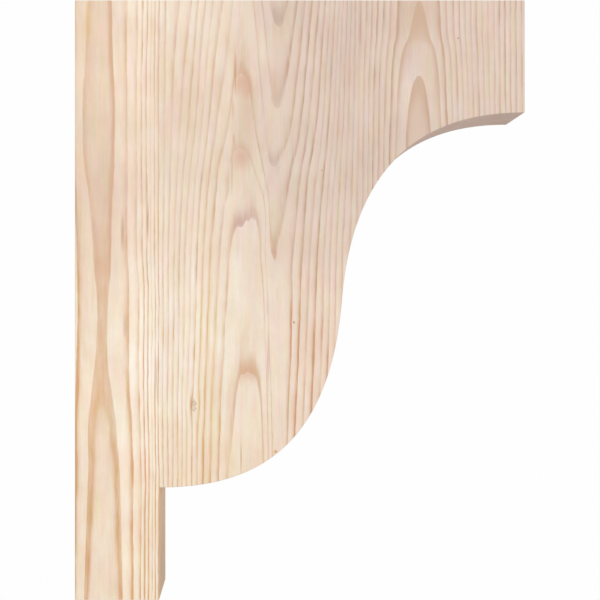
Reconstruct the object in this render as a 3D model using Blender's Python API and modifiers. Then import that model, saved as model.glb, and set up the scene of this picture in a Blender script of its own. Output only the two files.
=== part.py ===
# Wooden corbel bracket, band-sawn from one thick softwood plank.
# Metres, +Z up. The back stands on the plane x = 0 and the arm reaches out along +X.
# The origin is the middle of the back, and the plank's thickness runs along Y.

import math

import bmesh
import bpy
from mathutils import Matrix, Vector

INCH = 0.0254

# Driving dimensions
HEIGHT = 16.0 * INCH
PROJECTION = 12.0 * INCH
THICKNESS = 3.5 * INCH
ARM_END_HEIGHT = 3.0 * INCH
LEG_WIDTH = 2.25 * INCH
LEG_LENGTH = 3.0 * INCH
ARRIS = 0.0009

# The S-curve, as shares of the width and height of each of its halves.
# A tip reach runs level from the end of the curve, a waist reach runs up or down the slope at the waist.
HOLLOW_TIP_REACH = 0.438
HOLLOW_WAIST_REACH = 0.839
BELLY_TIP_REACH = 0.488
BELLY_WAIST_REACH = 0.826
WAIST_LEAN = 0.082
CURVE_STEPS = 40
ARRIS_STEPS = 2

SHARP_ANGLE = math.radians(35)
WELD_DISTANCE = 0.00001

FIR_COLOUR = (0.80, 0.66, 0.52, 1.0)
FIR_ROUGHNESS = 0.62


def clear_scene():
    for item in list(bpy.data.objects):
        bpy.data.objects.remove(item, do_unlink=True)


def new_collection(name):
    collection = bpy.data.collections.new(name)
    bpy.context.scene.collection.children.link(collection)
    return collection


def fir_material():
    material = bpy.data.materials.new("pale_fir")
    material.use_nodes = True
    shader = material.node_tree.nodes["Principled BSDF"]
    shader.inputs["Base Color"].default_value = FIR_COLOUR
    shader.inputs["Roughness"].default_value = FIR_ROUGHNESS
    shader.inputs["Metallic"].default_value = 0.0
    return material


# The side view, in x and z. Each entry is a corner, with the handle before it and the one after it.
# A handle that is None belongs to a straight side.
def side_view():
    top = HEIGHT / 2
    bottom = -HEIGHT / 2
    arm_tip = Vector((PROJECTION, top - ARM_END_HEIGHT))
    leg_top = Vector((LEG_WIDTH, bottom + LEG_LENGTH))
    waist = (arm_tip + leg_top) / 2
    half = (arm_tip - leg_top) / 2
    slope = Vector((WAIST_LEAN, 1.0)).normalized()
    hollow_tip_handle = arm_tip - Vector((HOLLOW_TIP_REACH * half.x, 0.0))
    hollow_waist_handle = waist + slope * HOLLOW_WAIST_REACH * half.y
    belly_waist_handle = waist - slope * BELLY_WAIST_REACH * half.y
    belly_tip_handle = leg_top + Vector((BELLY_TIP_REACH * half.x, 0.0))
    return [
        (Vector((0.0, bottom)), None, None),
        (Vector((0.0, top)), None, None),
        (Vector((PROJECTION, top)), None, None),
        (arm_tip, None, hollow_tip_handle),
        (waist, hollow_waist_handle, belly_waist_handle),
        (leg_top, belly_tip_handle, None),
        (Vector((LEG_WIDTH, bottom)), None, None),
    ]


def outline_curve(name, corners, thickness):
    curve = bpy.data.curves.new(name, "CURVE")
    curve.dimensions = "2D"
    curve.fill_mode = "BOTH"
    curve.extrude = thickness / 2
    curve.resolution_u = CURVE_STEPS
    spline = curve.splines.new("BEZIER")
    spline.bezier_points.add(len(corners) - 1)
    spline.use_cyclic_u = True
    for point, (corner, before, after) in zip(spline.bezier_points, corners):
        point.co = corner.to_3d()
        point.handle_left_type = "FREE" if before else "VECTOR"
        point.handle_right_type = "FREE" if after else "VECTOR"
        if before:
            point.handle_left = before.to_3d()
        if after:
            point.handle_right = after.to_3d()
    return bpy.data.objects.new(name, curve)


# Makes one closed mesh object of the extruded outline, and removes the curve.
def solid_from(outline, name, collection):
    collection.objects.link(outline)
    depsgraph = bpy.context.evaluated_depsgraph_get()
    mesh = bpy.data.meshes.new_from_object(outline.evaluated_get(depsgraph))
    placement = outline.matrix_world.copy()
    curve = outline.data
    bpy.data.objects.remove(outline, do_unlink=True)
    bpy.data.curves.remove(curve)
    welded = bmesh.new()
    welded.from_mesh(mesh)
    bmesh.ops.remove_doubles(welded, verts=welded.verts, dist=WELD_DISTANCE)
    bmesh.ops.recalc_face_normals(welded, faces=welded.faces)
    welded.to_mesh(mesh)
    welded.free()
    mesh.name = name
    mesh.shade_smooth()
    mesh.set_sharp_from_angle(angle=SHARP_ANGLE)
    solid = bpy.data.objects.new(name, mesh)
    solid.matrix_world = placement
    collection.objects.link(solid)
    return solid


# The sanded edges: every corner of the sawn block is eased a little.
def ease_edges(solid):
    easing = solid.modifiers.new("eased_arris", "BEVEL")
    easing.width = ARRIS
    easing.segments = ARRIS_STEPS
    easing.limit_method = "ANGLE"
    easing.angle_limit = SHARP_ANGLE
    easing.harden_normals = True


def make_corbel(collection):
    outline = outline_curve("corbel_outline", side_view(), THICKNESS)
    # The outline is drawn flat, and stands up so that its y is the world's z.
    outline.matrix_world = Matrix.Rotation(math.radians(90), 4, "X")
    corbel = solid_from(outline, "corbel", collection)
    corbel.data.materials.clear()
    corbel.data.materials.append(fir_material())
    ease_edges(corbel)
    return corbel


clear_scene()
make_corbel(new_collection("corbel_bracket"))
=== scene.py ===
import math

import bmesh
import bpy
from mathutils import Matrix, Vector
from mathutils.geometry import interpolate_bezier


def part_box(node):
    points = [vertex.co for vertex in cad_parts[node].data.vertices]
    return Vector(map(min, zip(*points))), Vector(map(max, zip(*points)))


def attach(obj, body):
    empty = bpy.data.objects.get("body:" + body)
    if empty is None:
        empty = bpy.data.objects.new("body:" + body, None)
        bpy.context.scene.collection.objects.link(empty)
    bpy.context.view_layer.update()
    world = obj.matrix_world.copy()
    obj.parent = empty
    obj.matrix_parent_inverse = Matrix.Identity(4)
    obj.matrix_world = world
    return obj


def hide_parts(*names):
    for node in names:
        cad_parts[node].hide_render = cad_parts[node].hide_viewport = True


# A wooden corbel bracket, band-sawn from one softwood plank and left bare.
# Metres, back on the plane x = 0, arm along +X. The planed side that faces -Y is the one looked at.
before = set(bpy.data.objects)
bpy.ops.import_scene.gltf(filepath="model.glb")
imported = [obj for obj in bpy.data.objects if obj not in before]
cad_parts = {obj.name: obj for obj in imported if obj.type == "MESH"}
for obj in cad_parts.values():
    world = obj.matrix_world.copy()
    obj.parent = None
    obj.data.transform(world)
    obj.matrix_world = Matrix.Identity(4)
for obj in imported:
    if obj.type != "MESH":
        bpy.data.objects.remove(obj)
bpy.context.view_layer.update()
low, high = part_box("corbel")
millimetres = 1000.0        # in a metre
print("frame loaded, the block is", [round(side * millimetres, 1) for side in high - low], "mm")


# Shader maths

class Wire:  # a node's output that takes part in Python sums; each sum adds a Math node
    def __init__(self, recipe, socket):
        self.recipe = recipe
        self.socket = socket

    def math(self, operation, *others):
        return self.recipe.node("Math", {"operation": operation}, [self, *others])

    def __add__(self, other):
        return self.math("ADD", other)

    def __sub__(self, other):
        return self.math("SUBTRACT", other)

    def __rsub__(self, other):
        return self.recipe.node("Math", {"operation": "SUBTRACT"}, [other, self])

    def __mul__(self, other):
        return self.math("MULTIPLY", other)

    def __truediv__(self, other):
        return self.math("DIVIDE", other)

    __radd__ = __add__
    __rmul__ = __mul__


class Recipe:  # the nodes of one material, or of the world
    def __init__(self, owner):
        owner.use_nodes = True
        self.owner = owner
        self.tree = owner.node_tree
        self.tree.nodes.clear()

    # Any node: its type, its settings, what goes into its sockets, and which output is wanted
    def node(self, kind, settings=None, sockets=None, output=0):
        made = self.tree.nodes.new("ShaderNode" + kind)
        for name, value in (settings or {}).items():
            if name == "stops":
                setStops(made, value)
            else:
                setattr(made, name, value)
        pairs = enumerate(sockets) if isinstance(sockets, list) else (sockets or {}).items()
        for key, value in pairs:
            target = made.inputs[key]
            if isinstance(value, Wire):
                self.tree.links.new(value.socket, target)
            elif target.type == "RGBA":
                target.default_value = (*value, 1.0)
            else:
                target.default_value = value
        return Wire(self, made.outputs[output]) if made.outputs else made


def setStops(node, stops):  # the points of a float curve, which has two to begin with
    node.mapping.extend = "HORIZONTAL"
    points = node.mapping.curves[0].points
    for point, stop in zip((points[0], points[-1]), (stops[0], stops[-1])):
        point.location = stop
    for stop in stops[1:-1]:
        points.new(*stop)
    node.mapping.update()


def paint(red, green, blue):  # a colour as it looks on screen, 0 to 255, made linear
    return tuple(((part / 255 + 0.055) / 1.055) ** 2.4 for part in (red, green, blue))


def ramp(x, start, end, first=0.0, last=1.0):  # eases from first to last as x goes from start to end
    return x.recipe.node("MapRange", {"interpolation_type": "SMOOTHSTEP"},
                         {"Value": x, "From Min": start, "From Max": end, "To Min": first, "To Max": last})


def step(x, centre, width):  # 0 well before the centre, 1 well after it
    return ((x - centre) / width).math("TANH") * 0.5 + 0.5


def bell(x, centre, width):  # 1 at the centre, falling off smoothly on both sides
    away = (x - centre) / width
    return (away * away * -1.0).math("EXPONENT")


def drawn(x, stops):  # a smooth line through given points, as (x, value), level beyond its ends
    places = [place for place, value in stops]
    values = [value for place, value in stops]
    firstPlace = places[0]
    span = places[-1] - firstPlace
    least = min(values)
    rise = max(values) - least
    points = [((place - firstPlace) / span, (value - least) / rise) for place, value in stops]
    curve = x.recipe.node("FloatCurve", {"stops": points}, {"Value": (x - firstPlace) / span})
    return curve * rise + least


def mix(factor, first, second, mode="MIX"):  # colours, which are sockets 6 and 7 of the node
    recipe = next(part for part in (factor, first, second) if isinstance(part, Wire)).recipe
    return recipe.node("Mix", {"data_type": "RGBA", "blend_type": mode, "clamp_factor": True},
                       {0: factor, 6: first, 7: second}, output=2)


# The wood's figure, in millimetres: out from the wall, deep from the planed side, down from the top.
# A list of pairs is a smooth line through given points, as (down, value) where nothing else is said.

wallHeart = {
    "out": 16.8,            # the middle of the tall waisted ring
    "ahead": 30.0,          # how far in front of the planed side this heart lay
    "broadReach": 15.0,     # how far its broad years reach
    "rings": [(30.0, 4.1), (39.3, 2.35), (50.0, 3.55)],   # from this radius on, the ring width
    "sway": [(0, -0.4), (82, -1.0), (136, 0.8), (203, 1.8), (250, 1.2), (292, 1.4), (326, 3.0), (407, 3.0)],
    "swayReach": 26.0,
    "waist": [(0, -0.27), (41, -0.38), (82, -0.50), (136, -0.27), (183, -0.12), (210, -0.05),
              (237, -0.06), (260, -0.15), (292, -0.36), (326, -0.46), (407, -0.76)],
    "waistReach": 40.7,
    "lines": {              # the fine lines beside it sway by themselves
        "at": 40.0,
        "reach": 14.0,
        "sway": [(0, 1.6), (35, 1.2), (82, 0.2), (160, 0.3), (203, 2.8), (290, 3.0), (340, 2.2), (407, 1.2)],
    },
}

armHeart = {
    "out": 232.9,           # the middle of the steep peak; the rest is as above
    "ahead": 24.0,
    "broadReach": 14.0,
    "rings": [(24.0, 4.0), (28.0, 3.0), (44.0, 3.5)],
    "firstRing": 19,
    "meeting": 0.35,        # how softly its rings meet those of the wall heart
    "peak": [(0, 0.0), (23, -0.24), (33, -0.62), (51, -1.0), (64, -1.16), (78, -1.30), (108, -1.50),
             (407, -1.70)],
    "peakReach": 42.1,
}

middleFlames = {            # the wavy peaks in the middle of the face
    # which ring stands where across the face, 51 mm below the top, as (out, ring)
    "rings": [(50, 5.7), (61, 8.0), (70, 9.4), (78, 10.6), (86.7, 12.5), (96.2, 14.3), (102, 15.0),
              (106, 15.4), (109, 15.85), (112, 15.98), (117, 15.99), (120, 15.86), (124, 15.28),
              (128, 14.6), (132, 13.88), (136, 13.64), (141.7, 13.8), (148.5, 14.6), (159.3, 16.55),
              (168.1, 18.4), (175.6, 20.5), (184.4, 23.2), (203, 28.8)],
    # how many rings the figure climbs on its way down
    "climb": [(0, -1.05), (17, -0.66), (51, 0.0), (73, 0.36), (102, 1.02), (112, 1.35), (130, 1.75),
              (147, 2.02), (171, 2.36), (203, 2.60), (225, 2.76), (246, 2.90), (262, 3.08), (290, 3.28),
              (326, 3.45), (407, 3.7)],
    "climbStarts": (70.0, 9.0),     # where across the face, and how gently
    "climbEnds": (184.4, 10.9),
    # how the peaks and the dips sway sideways, in mm, and how far they rise, in rings
    "peaks": {
        "at": 114.0,
        "reach": 12.0,
        "sway": [(0, -1.0), (51, -2.2), (80, -2.8), (102, -3.0), (125, 1.5), (147, 6.3), (190, 4.0),
                 (246, 2.4), (407, 2.0)],
        "rise": [(0, 0.45), (30, 0.2), (51, 0.0), (102, 0.0), (147, -0.09), (200, 0.0), (407, 0.0)],
    },
    "dips": {
        "at": 137.0,
        "reach": 9.0,
        "sway": [(0, 1.0), (73, 0.0), (100, -1.5), (112, -2.5), (140, -2.2), (171, -3.2), (200, -1.4),
                 (260, 1.0), (407, 3.0)],
        "rise": [(0, 0.0), (112, 0.0), (144, -0.03), (171, -0.05), (200, -0.22), (250, -0.50),
                 (300, -0.65), (407, -0.9)],
    },
    # what turns the low peaks into arches: where it is, how far that reaches, and how far it rises
    "arches": {
        "right shoulder": (126.5, 5.0, [(0, 0.0), (102, 0.0), (125, 0.12), (150, 0.48), (171, 0.42),
                                        (200, 0.78), (407, 0.85)]),
        "left shoulder": (103.5, 4.5, [(0, 0.0), (95, 0.0), (125, 0.17), (153, 0.76), (163, 0.78),
                                       (190, 0.5), (407, 0.4)]),
        "dome": (114.5, 4.0, [(0, 0.0), (120, 0.0), (150, 0.02), (190, 0.02), (240, 0.0), (407, 0.0)]),
    },
    "dipFloor": (133.8, 2.6, [(0, 0.0), (155, 0.0), (174, 0.03), (200, 0.0), (407, 0.0)]),
}


def ringsCrossed(radius, rings):  # takes a wire or a plain number
    count = (radius - rings[0][0]) / rings[0][1]
    for (_, before), (begins, after) in zip(rings, rings[1:]):
        beyond = radius - begins
        beyond = beyond.math("MAXIMUM", 0.0) if isinstance(beyond, Wire) else max(beyond, 0.0)
        count = count + beyond * (1 / after - 1 / before)
    return count


def distance(out, deep, heart):
    aside = out - heart["out"]
    behind = deep + heart["ahead"]
    return (aside * aside + behind * behind).math("SQRT")


def plainRing(out, heart):  # the count at one place on the planed side
    return ringsCrossed(math.hypot(out - heart["out"], heart["ahead"]), heart["rings"])


def ringField(out, deep, down):
    lines = wallHeart["lines"]
    peaks = middleFlames["peaks"]
    dips = middleFlames["dips"]
    nearPeaks = bell(out, peaks["at"], peaks["reach"])
    nearDips = bell(out, dips["at"], dips["reach"])
    # Round the wall heart: the tall waisted ring, then rings that widen away from it
    swayed = out - drawn(down, wallHeart["sway"]) * bell(out, wallHeart["out"], wallHeart["swayReach"])
    swayed = swayed - drawn(down, lines["sway"]) * bell(out, lines["at"], lines["reach"])
    swayed = swayed - drawn(down, peaks["sway"]) * nearPeaks - drawn(down, dips["sway"]) * nearDips
    rings = ringsCrossed(distance(swayed, deep, wallHeart), wallHeart["rings"])
    rings = rings + drawn(down, wallHeart["waist"]) * bell(out, wallHeart["out"], wallHeart["waistReach"])
    # The middle, where the rings level off, dip and climb down the face in flames
    shift = [(place, ring - plainRing(place, wallHeart)) for place, ring in middleFlames["rings"]]
    shift[0] = (shift[0][0], 0.0)      # nearer the wall than this, the heart's own count holds
    rings = rings + drawn(swayed, shift)
    climb = step(out, *middleFlames["climbStarts"]) * (1 - step(out, *middleFlames["climbEnds"]))
    rings = rings + climb * drawn(down, middleFlames["climb"])
    rings = rings + nearPeaks * drawn(down, peaks["rise"]) + nearDips * drawn(down, dips["rise"])
    for at, reach, rise in middleFlames["arches"].values():
        rings = rings + drawn(down, rise) * bell(swayed, at, reach)
    at, reach, rise = middleFlames["dipFloor"]
    rings = rings + drawn(down, rise) * bell(out, at, reach)
    # Round the arm heart: the steep peak
    armRings = ringsCrossed(distance(out, deep, armHeart), armHeart["rings"])
    armRings = armRings + drawn(down, armHeart["peak"]) * bell(out, armHeart["out"], armHeart["peakReach"])
    return rings.math("SMOOTH_MIN", armRings + armHeart["firstRing"], armHeart["meeting"])


planedFir = {
    # early wood and late wood, near the wall or out on the arm, high up or low down
    "early": {"wallHigh": (252, 234, 214), "armHigh": (236, 215, 199),
              "wallLow": (255, 243, 225), "armLow": (249, 230, 212)},
    "late": {"wallHigh": (217, 179, 146), "armHigh": (202, 168, 143),
             "wallLow": (220, 174, 127), "armLow": (211, 166, 131)},
    "outwards": (95.0, 165.0),     # where the tone turns from wall to arm
    "downwards": (125.0, 235.0),   # where it turns from high to low
    # how much paler the wood is, across the face as (out, share), and down it
    "paleAcross": [(0, 0.01), (12, 0.0), (28, 0.02), (42, 0.075), (58, 0.02), (90, 0.0), (124, -0.01),
                   (160, 0.0), (232, -0.005), (276, 0.01), (305, 0.01)],
    "paleDown": [(0, -0.005), (60, 0.0), (105, -0.035), (135, -0.02), (170, 0.0), (260, 0.015),
                 (407, 0.005)],
    "orangeWall": (0.0, -0.042, -0.085),   # the wood by the wall is oranger: change of red, green, blue
    "orangeAt": (10.0, 22.0),      # where, and how far that reaches
    # how the late wood darkens through a fine year, through one in the middle flames, and through a broad
    # one high up and low down, as (share of the year, darkness)
    "fineYear": [(0, 0.0), (0.40, 0.03), (0.62, 0.30), (0.82, 0.9), (0.90, 1.0), (1.0, 1.0)],
    "flameYear": [(0, 0.0), (0.40, 0.0), (0.70, 0.12), (0.84, 0.45), (0.93, 0.95), (1.0, 1.0)],
    "broadYear": [(0, 0.0), (0.20, 0.05), (0.50, 0.22), (0.76, 0.32), (0.86, 0.62), (0.93, 0.80),
                  (1.0, 0.74)],
    "broadLowYear": [(0, 0.0), (0.45, 0.04), (0.60, 0.14), (0.72, 0.55), (0.80, 0.90), (0.90, 0.72),
                     (1.0, 0.66)],
    "flamesAt": (126.0, 22.0),
    "lowYears": (236.0, 275.0),    # where the broad years turn from high to low
    "softEdge": 0.08,              # how long a fine year takes to end, as a share of it
    "crispEdge": 0.012,            # the same for a broad year
    "crestsAt": (116.0, 11.0),     # the crests of the flames end crisply too
    "crests": 1.1,                 # how much so
    "smokyAt": (136.0, 6.0),       # in the dips of the flames a year ends more slowly
    "smokyDown": (140.0, 180.0),   # where that fades out
    "smoky": 0.16,                 # how much more slowly
    "beltAt": (156.0, 14.0),       # and so it does in a belt across the face, this far down
    "belt": 0.03,
    # how bold the lines are, across the face as (out, share), and down it
    "bold": [(0, 0.9), (25, 0.95), (34, 0.68), (40, 0.72), (56, 0.68), (63, 0.46), (78, 0.48), (86, 0.6),
             (98, 0.5), (108, 0.42), (124, 0.45), (134, 0.55), (148, 0.74), (165, 0.74), (174, 0.58),
             (186, 0.54), (198, 0.65), (207, 0.86), (222, 0.85), (233, 0.66), (248, 0.88), (258, 0.88),
             (264, 0.55), (280, 0.5), (290, 0.75), (305, 0.75)],
    "boldDown": [(0, 0.80), (100, 0.80), (180, 0.9), (260, 0.97), (330, 1.12), (407, 1.35)],
    "faint": ((60.0, 90.0), (40.0, 28.0), 0.42),   # where they are faintest, how far that reaches, how much
    "luck": 0.8,                   # how much the years differ
    "patchy": 3.2,                 # how much a line comes and goes along its way
    "patchyBroad": 0.8,            # the same for a broad year
    "tan": 0.15,                   # how tan the early wood is, and how much that comes and goes
    "tanBroad": 0.65,
    "tanFine": 0.40,
    "wander": 2.2,                 # how far the lines stray, in mm times the noise
    "quick": 0.88,
    "shiver": 0.88,
    "fibre": 0.144,                # lighter and darker fibres
    "pink": 0.20,                  # pinker and greener streaks
    "yellow": 0.46,                # yellower and greyer ones
    "elsewhere": 400.0,            # keeps those two apart from the other noises
    "paintedSideShade": (0.92, 0.83, 0.73),   # painted shade, darker and yellower, laid over the back, the arm's end and the leg's inner side
    "paintedFootShade": (0.88, 0.87, 0.86),   # and more painted shade at their foot, coming in from here to here
    "footFrom": (330.0, 400.0),
    # painted light on the faces turned up or down, a touch lighter and pinker
    "paintedUpDownLight": (1.04, 1.00, 1.02),
    "facesOut": (0.5, 0.95),       # how far a face turns to or from the wall before the painted side shade counts, and fully
    "facesUp": (0.45, 0.95),       # the same for up or down, where the painted light goes
    "roughness": 0.62,
    "roughFibre": 0.1,             # rougher on the light fibres
    "smoothLate": 0.08,            # smoother on the late wood
    "gloss": 0.35,
    "relief": 0.00008,             # metres
    "reliefShows": 0.5,
    "raisedFibre": 0.5,
    "sunkLate": 0.2,
    # the small marks below
    "ragged": 0.8,                 # how ragged their rims are
    "outside": 0.4,                # how much of a soft rim lies outside the mark
    "goIn": (2.0, 9.0),            # how deep in the wood they fade out
    "yearsEnd": 0.95,              # from here on, a mark that keeps to a year's end shows in full
}

# Noise that runs with the grain: how fine it is across it and along it, in 1/mm, its detail and roughness
streaks = {
    "wander": (0.045, 0.010, 2.0, 0.5),
    "quick": (0.22, 0.035, 2.0, 0.5),
    "shiver": (0.5, 0.09, 2.0, 0.5),
    "patches": (0.30, 0.034, 4.0, 0.6),
    "broad tan": (0.06, 0.032, 3.0, 0.6),
    "fine tan": (0.35, 0.030, 3.0, 0.6),
    "fibre": (1.3, 0.05, 3.0, 0.7),
    "pink": (0.30, 0.03, 4.0, 0.65),
    "yellow": (0.22, 0.03, 4.0, 0.65),
    "knot": (0.9, 0.5, 2.0, 0.5),
}

# Small marks in the wood: middle (out, down), half width and half height in mm, how much of it shows, the
# tint that it lays over the wood, how soft its rim is, and the share of a year that it keeps to, which lies
# before the year's end, or on both sides of it where the share is negative; 0 goes right across
marks = {
    "red peak": ((115.0, 58.0), (8.0, 11.0), 0.65, (221, 165, 137), 0.6, -0.4),
    "tan under the peak": ((116.0, 80.0), (8.0, 28.0), 0.45, (219, 190, 160), 0.8, 0),
    "second red peak": ((113.0, 106.0), (8.0, 9.0), 0.50, (216, 166, 140), 0.95, 0),
    "low red peak": ((118.5, 251.0), (10.0, 12.0), 0.6, (226, 178, 146), 0.8, -0.16),
    "rim of the low peak": ((118.0, 280.0), (16.0, 48.0), 0.5, (216, 168, 128), 0.5, 0.22),
    "violet peak": ((114.0, 155.0), (13.0, 14.0), 0.60, (206, 170, 162), 0.8, 0.5),
    "red streak by the peak": ((108.6, 49.0), (0.7, 14.0), 0.75, (203, 146, 116), 0.9, 0),
    "streak below it": ((107.0, 74.0), (1.0, 8.0), 0.5, (221, 172, 128), 0.9, 0),
    "short red streak": ((107.6, 94.0), (0.7, 5.0), 0.5, (212, 150, 126), 0.9, 0),
    "long brown streak": ((106.4, 116.0), (0.8, 15.0), 0.5, (206, 164, 138), 0.9, 0),
    "first grey dip": ((136.5, 11.0), (7.0, 12.0), 0.60, (196, 168, 158), 0.9, 0.45),
    "second grey dip": ((135.8, 70.0), (6.0, 9.0), 0.30, (200, 172, 160), 0.9, 0.45),
    "third grey dip": ((134.4, 110.0), (7.0, 12.0), 0.35, (200, 172, 162), 0.9, 0.45),
    "red dip": ((133.5, 172.0), (5.5, 6.0), 0.60, (208, 162, 136), 0.8, 0.4),
    "dark lens": ((32.3, 157.0), (1.3, 13.0), 0.62, (198, 160, 134), 0.9, 0),
    "pitch streak": ((49.4, 149.0), (0.8, 14.0), 0.75, (190, 146, 94), 0.9, 0),
    "grey wedge": ((34.0, 221.0), (1.5, 9.0), 0.5, (206, 176, 156), 0.8, 0),
    "short dark streak": ((54.8, 254.0), (1.0, 17.0), 0.45, (204, 164, 124), 0.9, 0),
    "pink streak": ((130.9, 244.0), (1.0, 21.0), 0.55, (214, 164, 144), 0.9, 0),
    "bold orange line": ((147.5, 245.0), (3.5, 50.0), 0.75, (216, 150, 100), 0.9, 0.3),
    "low orange line": ((153.5, 240.0), (2.6, 34.0), 0.55, (216, 154, 106), 0.9, 0.35),
    "gold line": ((90.0, 240.0), (8.0, 90.0), 0.6, (240, 213, 160), 0.9, -0.5),
    "small red streak": ((112.4, 310.0), (0.5, 11.0), 0.6, (190, 138, 116), 0.8, 0),
    "tan round the arm peak": ((232.6, 42.0), (24.0, 62.0), 0.55, (213, 179, 151), 0.5, 0.5),
    "gold in the arm peak": ((232.6, 10.0), (11.0, 17.0), 0.50, (212, 174, 144), 0.9, 0),
    "pink heart of the arm peak": ((231.8, 90.0), (6.5, 24.0), 0.6, (227, 200, 183), 0.5, 0),
    "low dot": ((148.4, 218.3), (0.7, 1.0), 0.7, (168, 128, 96), 0.5, 0),
    "pink dot": ((167.4, 115.2), (0.7, 0.9), 0.5, (196, 140, 130), 0.6, 0),
    "far dot": ((259.7, 25.7), (0.6, 0.8), 0.6, (150, 112, 92), 0.6, 0),
    "yellow spot": ((136.2, 305.9), (1.4, 1.2), 0.7, (214, 158, 84), 0.6, 0),
    "orange edge of the waisted ring": ((24.8, 62.0), (3.6, 105.0), 0.7, (223, 174, 138), 0.7, 0.3),
    "gold by the wall": ((8.6, 14.0), (2.4, 17.0), 0.6, (240, 200, 142), 0.9, 0),
}

# Broad soft changes of tone: middle (out, down), reach in mm, and the change of red, green and blue
softPlaces = {
    "pale beside the leg": ((48.7, 245.0), (13.0, 48.0), (0.035, 0.090, 0.170)),
    "pale by the low arch": ((10.0, 271.0), (11.0, 26.0), (0.085, 0.095, 0.130)),
    "golden foot of the belly": ((98.0, 313.0), (40.0, 28.0), (-0.025, -0.085, -0.165)),
    "tan field": ((80.0, 66.0), (27.0, 24.0), (-0.060, -0.100, -0.120)),
    "end of the waisted ring": ((25.0, 139.0), (20.0, 32.0), (-0.060, -0.105, -0.095)),
    "grey round the first dip": ((134.0, 10.0), (22.0, 16.0), (-0.070, -0.090, -0.070)),
    "grey by the second peak": ((125.0, 68.0), (14.0, 22.0), (-0.050, -0.075, -0.070)),
    "grey strip on the arm": ((181.7, 32.0), (12.0, 35.0), (-0.060, -0.080, -0.065)),
    "pale strip": ((86.7, 215.0), (9.0, 60.0), (0.060, 0.070, 0.100)),
    "pale under the arm peak": ((227.0, 69.0), (14.0, 14.0), (0.060, 0.070, 0.090)),
    "pale top": ((48.0, 5.0), (34.0, 11.0), (0.030, 0.070, 0.095)),
    "pale by the dips": ((163.0, 115.0), (10.0, 60.0), (0.030, 0.040, 0.050)),
    "golden by the bold line": ((163.0, 232.0), (10.0, 38.0), (-0.020, -0.060, -0.085)),
    "pale above the low arch": ((118.5, 240.0), (9.0, 8.0), (0.045, 0.070, 0.085)),
    "golden leg": ((48.0, 368.0), (13.0, 50.0), (-0.035, -0.070, -0.110)),
}

pinKnot = {
    "at": (80.6, 274.6),
    "reach": (1.5, 3.6),
    "push": (4.5, 9.0),     # how far round it the grain bends
    "bend": 0.6,            # how much it bends there
    "goesIn": (2.0, 12.0),  # how deep in the wood that fades out
    "ragged": 2.0,
    "rim": (0.85, 0.25),    # as shares of the reach: where the dark rim is, and how wide
    "core": (0.0, 0.35),
    "shows": 0.6,
    "tint": (186, 148, 96),
}


def streak(name, out, deep, down):  # noise round zero, about -0.5 to 0.5
    across, along, detail, roughness = streaks[name]
    place = out.recipe.node("CombineXYZ", sockets=[out * across, deep * across, down * along])
    return out.recipe.node("TexNoise", sockets={"Vector": place, "Scale": 1.0, "Detail": detail,
                                                "Roughness": roughness}) - 0.5


def around(out, down, middle, reach):  # 1 at the middle, falling off smoothly on all sides
    return bell(out, middle[0], reach[0]) * bell(down, middle[1], reach[1])


def ellipse(place, middle, reach):  # 0 at the middle, 1 on the rim
    away = place.recipe.node("VectorMath", {"operation": "SUBTRACT"}, [place, (*middle, 0.0)])
    away = place.recipe.node("VectorMath", {"operation": "DIVIDE"}, [away, (*reach, 1.0)])
    return place.recipe.node("VectorMath", {"operation": "LENGTH"}, [away], output="Value")


def toned(colours, outwards, downwards):
    upper = mix(outwards, paint(*colours["wallHigh"]), paint(*colours["armHigh"]))
    lower = mix(outwards, paint(*colours["wallLow"]), paint(*colours["armLow"]))
    return mix(downwards, upper, lower)


def lateWood(out, deep, down, rings):  # darkens through the year and ends in a crisp edge
    fir = planedFir
    part = rings.math("FRACT")
    broad = (bell(out, wallHeart["out"], wallHeart["broadReach"])
             + bell(out, armHeart["out"], armHeart["broadReach"])).math("MINIMUM", 1.0)
    crisp = (broad + bell(out, *fir["crestsAt"]) * fir["crests"]).math("MINIMUM", 1.0)
    edge = fir["softEdge"] - crisp * (fir["softEdge"] - fir["crispEdge"])
    edge = edge + bell(out, *fir["smokyAt"]) * ramp(down, *fir["smokyDown"], fir["smoky"], 0.0)
    edge = edge + bell(down, *fir["beltAt"]) * fir["belt"]
    fineLate = drawn(part, fir["fineYear"])
    late = fineLate + (drawn(part, fir["flameYear"]) - fineLate) * bell(out, *fir["flamesAt"])
    broadLate = drawn(part, fir["broadYear"])
    broadLate = broadLate + (drawn(part, fir["broadLowYear"]) - broadLate) * ramp(down, *fir["lowYears"])
    late = late + (broadLate - late) * broad
    late = late * ((1.0 - part) / edge).math("MINIMUM", 1.0)
    # No two years are alike, and each line comes and goes
    luck = out.recipe.node("TexWhiteNoise", {"noise_dimensions": "1D"}, {"W": rings.math("FLOOR")}) - 0.5
    patchy = fir["patchy"] - broad * (fir["patchy"] - fir["patchyBroad"])
    late = late * (luck * fir["luck"] + 1.0) * (streak("patches", out, deep, down) * patchy + 1.0)
    late = late * drawn(out, fir["bold"]) * drawn(down, fir["boldDown"])
    faintMiddle, faintReach, faintness = fir["faint"]
    late = late * (1.0 - around(out, down, faintMiddle, faintReach) * faintness)
    late = late + streak("broad tan", out, deep, down) * fir["tanBroad"]
    late = late + streak("fine tan", out, deep, down) * fir["tanFine"]
    return late + fir["tan"]


def woodTint(out, deep, down, fibre):  # what the colour of the rings is multiplied by
    fir = planedFir
    light = 1.0 + fibre * fir["fibre"]
    light = light + drawn(out, fir["paleAcross"]) + drawn(down, fir["paleDown"])
    nearWall = bell(out, *fir["orangeAt"])
    parts = [light + nearWall * change for change in fir["orangeWall"]]
    for middle, reach, changes in softPlaces.values():
        here = around(out, down, middle, reach)
        parts = [base + here * change for base, change in zip(parts, changes)]
    red, green, blue = parts
    pink = streak("pink", out + fir["elsewhere"], deep, down) * fir["pink"]
    yellow = streak("yellow", out - fir["elsewhere"], deep, down) * fir["yellow"]
    return out.recipe.node("CombineColor", sockets=[red + pink, green - pink, blue - yellow])


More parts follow.
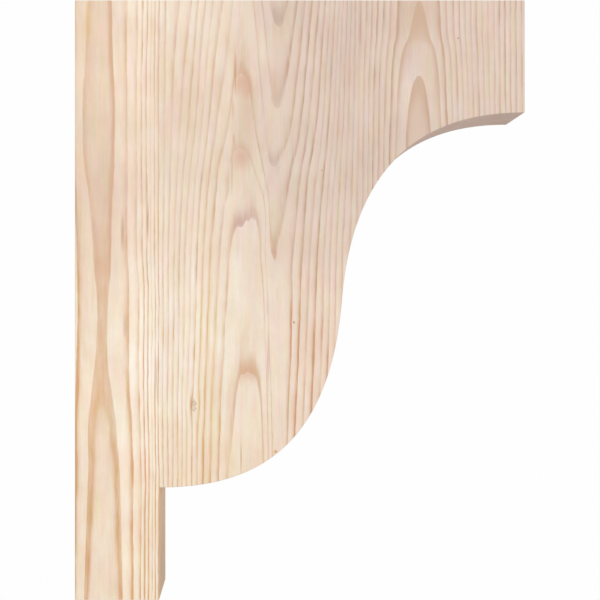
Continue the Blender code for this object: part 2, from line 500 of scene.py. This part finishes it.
def markedWith(colour, spot, ragged, part, onFace):  # the small marks, laid over the wood one by one
    for middle, reach, shows, tone, soft, share in marks.values():
        rim = ellipse(spot, middle, reach) * ragged
        shape = ramp(rim, 1.0 - soft, 1.0 + soft * planedFir["outside"], shows, 0.0) * onFace
        if share > 0:
            shape = shape * ramp(part, 1.0 - share, planedFir["yearsEnd"])
        elif share < 0:
            shape = shape * ramp(part.math("MINIMUM", 1.0 - part), 0.0, -share, 1.0, 0.0)
        colour = mix(shape, colour, paint(*tone))
    return colour


def firMaterial():
    fir = planedFir
    recipe = Recipe(bpy.data.materials.new("pale_fir_planed"))
    node = recipe.node
    place = node("TexCoord", output="Object")
    out = node("SeparateXYZ", sockets=[place], output="X") * millimetres
    deep = (node("SeparateXYZ", sockets=[place], output="Y") - low.y) * millimetres
    down = (high.z - node("SeparateXYZ", sockets=[place], output="Z")) * millimetres

    # The lines stray a little, slowly along the grain, and bend round the knot
    quick = streak("quick", out, deep, down) * fir["quick"]
    stray = streak("wander", out, deep, down) * fir["wander"] + quick
    stray = stray + streak("shiver", out, deep, down) * fir["shiver"]
    aside = out - pinKnot["at"][0]
    nearKnot = around(out, down, pinKnot["at"], pinKnot["push"]) * ramp(deep, *pinKnot["goesIn"], 1.0, 0.0)
    rings = ringField(out + stray - aside * nearKnot * pinKnot["bend"], deep, down)

    outwards = ramp(out, *fir["outwards"])
    downwards = ramp(down, *fir["downwards"])
    late = lateWood(out, deep, down, rings)
    fibre = streak("fibre", out, deep, down)
    colour = mix(late, toned(fir["early"], outwards, downwards), toned(fir["late"], outwards, downwards))
    colour = mix(1.0, colour, woodTint(out, deep, down, fibre), "MULTIPLY")

    spot = node("CombineXYZ", sockets=[out + quick, down, 0.0])
    onFace = ramp(deep, *fir["goIn"], 1.0, 0.0)
    colour = markedWith(colour, spot, 1.0 + fibre * fir["ragged"], rings.math("FRACT"), onFace)
    rim = ellipse(spot, pinKnot["at"], pinKnot["reach"]) + streak("knot", out, deep, down) * pinKnot["ragged"]
    knot = (bell(rim, *pinKnot["rim"]) + bell(rim, *pinKnot["core"])) * pinKnot["shows"]
    colour = mix(knot * onFace, colour, paint(*pinKnot["tint"]))

    # Painted shade: the back, the arm's end and the leg's inner side are painted darker and yellower. Painted
    # light: the faces turned up or down, end grain, are painted a touch lighter
    normal = node("NewGeometry", output="Normal")
    facingOut = node("SeparateXYZ", sockets=[normal], output="X").math("ABSOLUTE")
    facingUp = node("SeparateXYZ", sockets=[normal], output="Z").math("ABSOLUTE")
    # painted shade on the faces turned to or from the wall
    side = mix(1.0, colour, fir["paintedSideShade"], "MULTIPLY")
    # more painted shade towards the foot of those faces
    side = mix(ramp(down, *fir["footFrom"]), side, mix(1.0, side, fir["paintedFootShade"], "MULTIPLY"))
    colour = mix(ramp(facingOut, *fir["facesOut"]), colour, side)
    # painted light on the faces turned up or down
    colour = mix(ramp(facingUp, *fir["facesUp"]), colour, mix(1.0, colour, fir["paintedUpDownLight"], "MULTIPLY"))

    relief = fibre * fir["raisedFibre"] - late * fir["sunkLate"]
    bump = node("Bump", sockets={"Strength": fir["reliefShows"], "Distance": fir["relief"], "Height": relief})
    roughness = fibre * fir["roughFibre"] - late * fir["smoothLate"] + fir["roughness"]
    shader = node("BsdfPrincipled", sockets={"Base Color": colour, "Roughness": roughness,
                                             "Specular IOR Level": fir["gloss"], "Normal": bump})
    node("OutputMaterial", sockets={"Surface": shader})
    print("planed fir mixed,", len(recipe.tree.nodes), "nodes")
    return recipe.owner


# The block

# Metres, but the reaches are shares of half the curve's width or height, and the steps are counts
block = {
    "armEndHeight": 0.0762,
    "legWidth": 0.05715,
    "legLength": 0.0762,
    "hollowTipReach": 0.438,
    "hollowWaistReach": 0.839,
    "bellyTipReach": 0.488,
    "bellyWaistReach": 0.826,
    "waistLean": 0.082,
    "arris": 0.0005,        # the sanded edges
    "cornerEase": 0.0006,   # rounding of the corners in the side view
    "insideCorner": 0.0004,  # the same where the curve meets the leg
    "arrisSteps": 4,
    "cornerSteps": 5,
    "curveSteps": 420,      # along each half of the S
    "acrossSteps": 14,
    "sawPitch": 0.0034,     # from one saw mark to the next
    "sawDepth": 0.00006,
    "sawSlant": 0.11,       # how far the marks lean across the thickness
    "sawWaves": [(1.0, 1.0, 0.0), (0.6, 0.37, 1.3), (0.35, 2.21, 0.4)],   # height, pace and start of each
    "sawFade": 0.004,       # how soon they fade in at the ends of the curve
}


def leftOf(direction):  # outward, because the outline runs clockwise
    return Vector((-direction.y, direction.x))


# The side view in x and z: corners from the back's foot round to the arm's tip, the S, and the leg's foot
def sideView():
    top = high.z
    bottom = low.z
    armTip = Vector((high.x, top - block["armEndHeight"]))
    legTop = Vector((block["legWidth"], bottom + block["legLength"]))
    waist = (armTip + legTop) / 2
    half = (armTip - legTop) / 2
    slope = Vector((block["waistLean"], 1.0)).normalized()
    hollow = interpolate_bezier(armTip, armTip - Vector((block["hollowTipReach"] * half.x, 0.0)),
                                waist + slope * block["hollowWaistReach"] * half.y, waist,
                                block["curveSteps"])
    belly = interpolate_bezier(waist, waist - slope * block["bellyWaistReach"] * half.y,
                               legTop + Vector((block["bellyTipReach"] * half.x, 0.0)), legTop,
                               block["curveSteps"])
    corners = [Vector((low.x, bottom)), Vector((low.x, top)), Vector((high.x, top)), armTip]
    return corners, hollow[:-1] + belly, Vector((block["legWidth"], bottom))


def roundedCorner(before, corner, after, radius):  # (point, outward, 0), because no saw mark is here
    arriving = (corner - before).normalized()
    leaving = (after - corner).normalized()
    turn = arriving.angle_signed(leaving)          # clockwise is positive
    side = 1.0 if turn > 0 else -1.0
    reach = radius * math.tan(abs(turn) / 2)
    first = leftOf(arriving)
    centre = corner - arriving * reach - first * radius * side
    made = []
    for count in range(block["cornerSteps"] + 1):
        outward = first.copy()
        outward.rotate(Matrix.Rotation(-turn * count / block["cornerSteps"], 2))
        made.append((centre + outward * radius * side, outward, 0.0))
    return made


def outline():  # (point, outward, how far along the sawn curve)
    corners, curve, legFoot = sideView()
    made = []
    loop = [legFoot, *corners, curve[1]]
    for before, corner, after in zip(loop, loop[1:], loop[2:]):
        made += roundedCorner(before, corner, after, block["cornerEase"])
    # The curve keeps clear of the rounded corners at its two ends
    along = 0.0
    armTip = corners[-1]
    legTop = curve[-1]
    for before, point, after in zip(curve, curve[1:], curve[2:]):
        along += (point - before).length
        clearStart = (point - armTip).length > block["cornerEase"]
        clearEnd = (point - legTop).length > block["insideCorner"]
        if clearStart and clearEnd:
            made.append((point, leftOf((after - before).normalized()), along))
    made += roundedCorner(curve[-2], legTop, legFoot, block["insideCorner"])
    made += roundedCorner(legTop, legFoot, corners[0], block["cornerEase"])
    return made, along


def sawMark(along, length, y):  # how deep the saw cut at this spot, metres
    if not along:
        return 0.0
    swing = (along + y * block["sawSlant"]) / block["sawPitch"] * math.tau
    wave = sum(height * math.sin(swing * pace + start) for height, pace, start in block["sawWaves"])
    highest = sum(height for height, pace, start in block["sawWaves"])
    fade = min(1.0, along / block["sawFade"], (length - along) / block["sawFade"])
    return block["sawDepth"] * fade * (wave / highest + 1) / 2


def sectionAcross():  # (y, how far in from the outline) from the planed side to the other side
    rounding = [math.pi / 2 * count / block["arrisSteps"] for count in range(block["arrisSteps"] + 1)]
    near = [(low.y + block["arris"] * (1 - math.cos(angle)), block["arris"] * (1 - math.sin(angle)))
            for angle in rounding]
    flat = high.y - low.y - 2 * block["arris"]
    middle = [(low.y + block["arris"] + flat * count / block["acrossSteps"], 0.0)
              for count in range(1, block["acrossSteps"])]
    far = [(low.y + high.y - y, inset) for y, inset in reversed(near)]
    return near + middle + far


def buildBlock():
    edge, length = outline()
    made = bmesh.new()
    rings = []
    for y, inset in sectionAcross():
        ring = []
        for point, outward, along in edge:
            spot = point - outward * (inset + sawMark(along, length, y))
            ring.append(made.verts.new((spot.x, y, spot.y)))
        rings.append(ring)
    for ring, nextRing in zip(rings, rings[1:]):
        for count in range(len(ring)):
            after = (count + 1) % len(ring)
            face = made.faces.new((ring[count], ring[after], nextRing[after], nextRing[count]))
            face.smooth = True
    for ring in (rings[0], list(reversed(rings[-1]))):
        made.faces.new(ring)
    bmesh.ops.recalc_face_normals(made, faces=made.faces)
    mesh = bpy.data.meshes.new("sawn_block")
    made.to_mesh(mesh)
    made.free()
    piece = bpy.data.objects.new("sawn_block", mesh)
    bpy.context.scene.collection.objects.link(piece)
    mesh.materials.append(firMaterial())
    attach(piece, "root")
    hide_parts("corbel")
    print("block built,", len(mesh.vertices), "vertices")


buildBlock()


# Floor, light and camera

studio = {                          # metres and watts
    "middle": (0.15, 0.0, 0.0),     # the lamps point here
    "floorDrop": 0.6,               # below the middle, out of the picture
    "floorRadius": 1.0,
    "floorSides": 96,
    "floorColour": (0.85, 0.84, 0.83),
    "floorRoughness": 0.7,
    "white": (1.0, 1.0, 1.0),
    "backdrop": 0.99,
    "ambient": 0.45,
    "keyPlace": (-1.3, -2.6, 1.8),
    "keyPower": 40.0,
    "keySize": 1.6,
    "fillPlace": (2.2, -1.8, 0.1),
    "fillPower": 26.0,
    "fillSize": 1.6,
}

view = {
    "across": 0.1193,       # where the lens looks straight at the block
    "height": 0.0039,
    "distance": 1.237,      # from the lens to the planed side
    "lens": 109.54,         # mm, and so is the sensor
    "sensor": 36.0,
    "shiftAcross": 0.0817,
    "shiftUp": -0.0094,
}


def makeFloor():  # see-through from below, so that it never hides the block
    below = Vector((0.0, 0.0, studio["floorDrop"]))
    bpy.ops.mesh.primitive_circle_add(vertices=studio["floorSides"], radius=studio["floorRadius"],
                                      fill_type="NGON", location=Vector(studio["middle"]) - below)
    floor = bpy.context.object
    floor.name = "studio_floor"
    recipe = Recipe(bpy.data.materials.new("pale_floor"))
    pale = recipe.node("BsdfPrincipled", sockets={"Base Color": studio["floorColour"],
                                                  "Roughness": studio["floorRoughness"]})
    clear = recipe.node("BsdfTransparent")
    fromBelow = recipe.node("NewGeometry", output="Backfacing")
    both = recipe.node("MixShader", sockets=[fromBelow, pale, clear])
    recipe.node("OutputMaterial", sockets={"Surface": both})
    floor.data.materials.append(recipe.owner)


def makeWorld():  # the white ground that shows is brighter than the light that it gives
    recipe = Recipe(bpy.data.worlds.new("white_studio"))
    seen = recipe.node("Background", sockets={"Color": studio["white"], "Strength": studio["backdrop"]})
    lit = recipe.node("Background", sockets={"Color": studio["white"], "Strength": studio["ambient"]})
    inPicture = recipe.node("LightPath", output="Is Camera Ray")
    both = recipe.node("MixShader", sockets=[inPicture, lit, seen])
    recipe.node("OutputWorld", sockets={"Surface": both})
    bpy.context.scene.world = recipe.owner


def makeLamp(name, place, power, size):
    lamp = bpy.data.lights.new(name, "AREA")
    lamp.energy = power
    lamp.size = size
    holder = bpy.data.objects.new(name, lamp)
    holder.location = place
    aim = Vector(studio["middle"]) - holder.location
    holder.rotation_euler = aim.to_track_quat("-Z", "Y").to_euler()
    bpy.context.scene.collection.objects.link(holder)


def makeCamera():
    lens = bpy.data.cameras.new("side_view")
    lens.lens = view["lens"]
    lens.sensor_width = view["sensor"]
    lens.shift_x = view["shiftAcross"]
    lens.shift_y = view["shiftUp"]
    camera = bpy.data.objects.new("side_view", lens)
    camera.location = (view["across"], low.y - view["distance"], view["height"])
    camera.rotation_euler = (math.pi / 2, 0.0, 0.0)
    bpy.context.scene.collection.objects.link(camera)
    bpy.context.scene.camera = camera


makeFloor()
makeWorld()
makeLamp("key_light", studio["keyPlace"], studio["keyPower"], studio["keySize"])
makeLamp("fill_light", studio["fillPlace"], studio["fillPower"], studio["fillSize"])
makeCamera()
bpy.context.scene.view_settings.view_transform = "Standard"
print("floor, light and camera set")
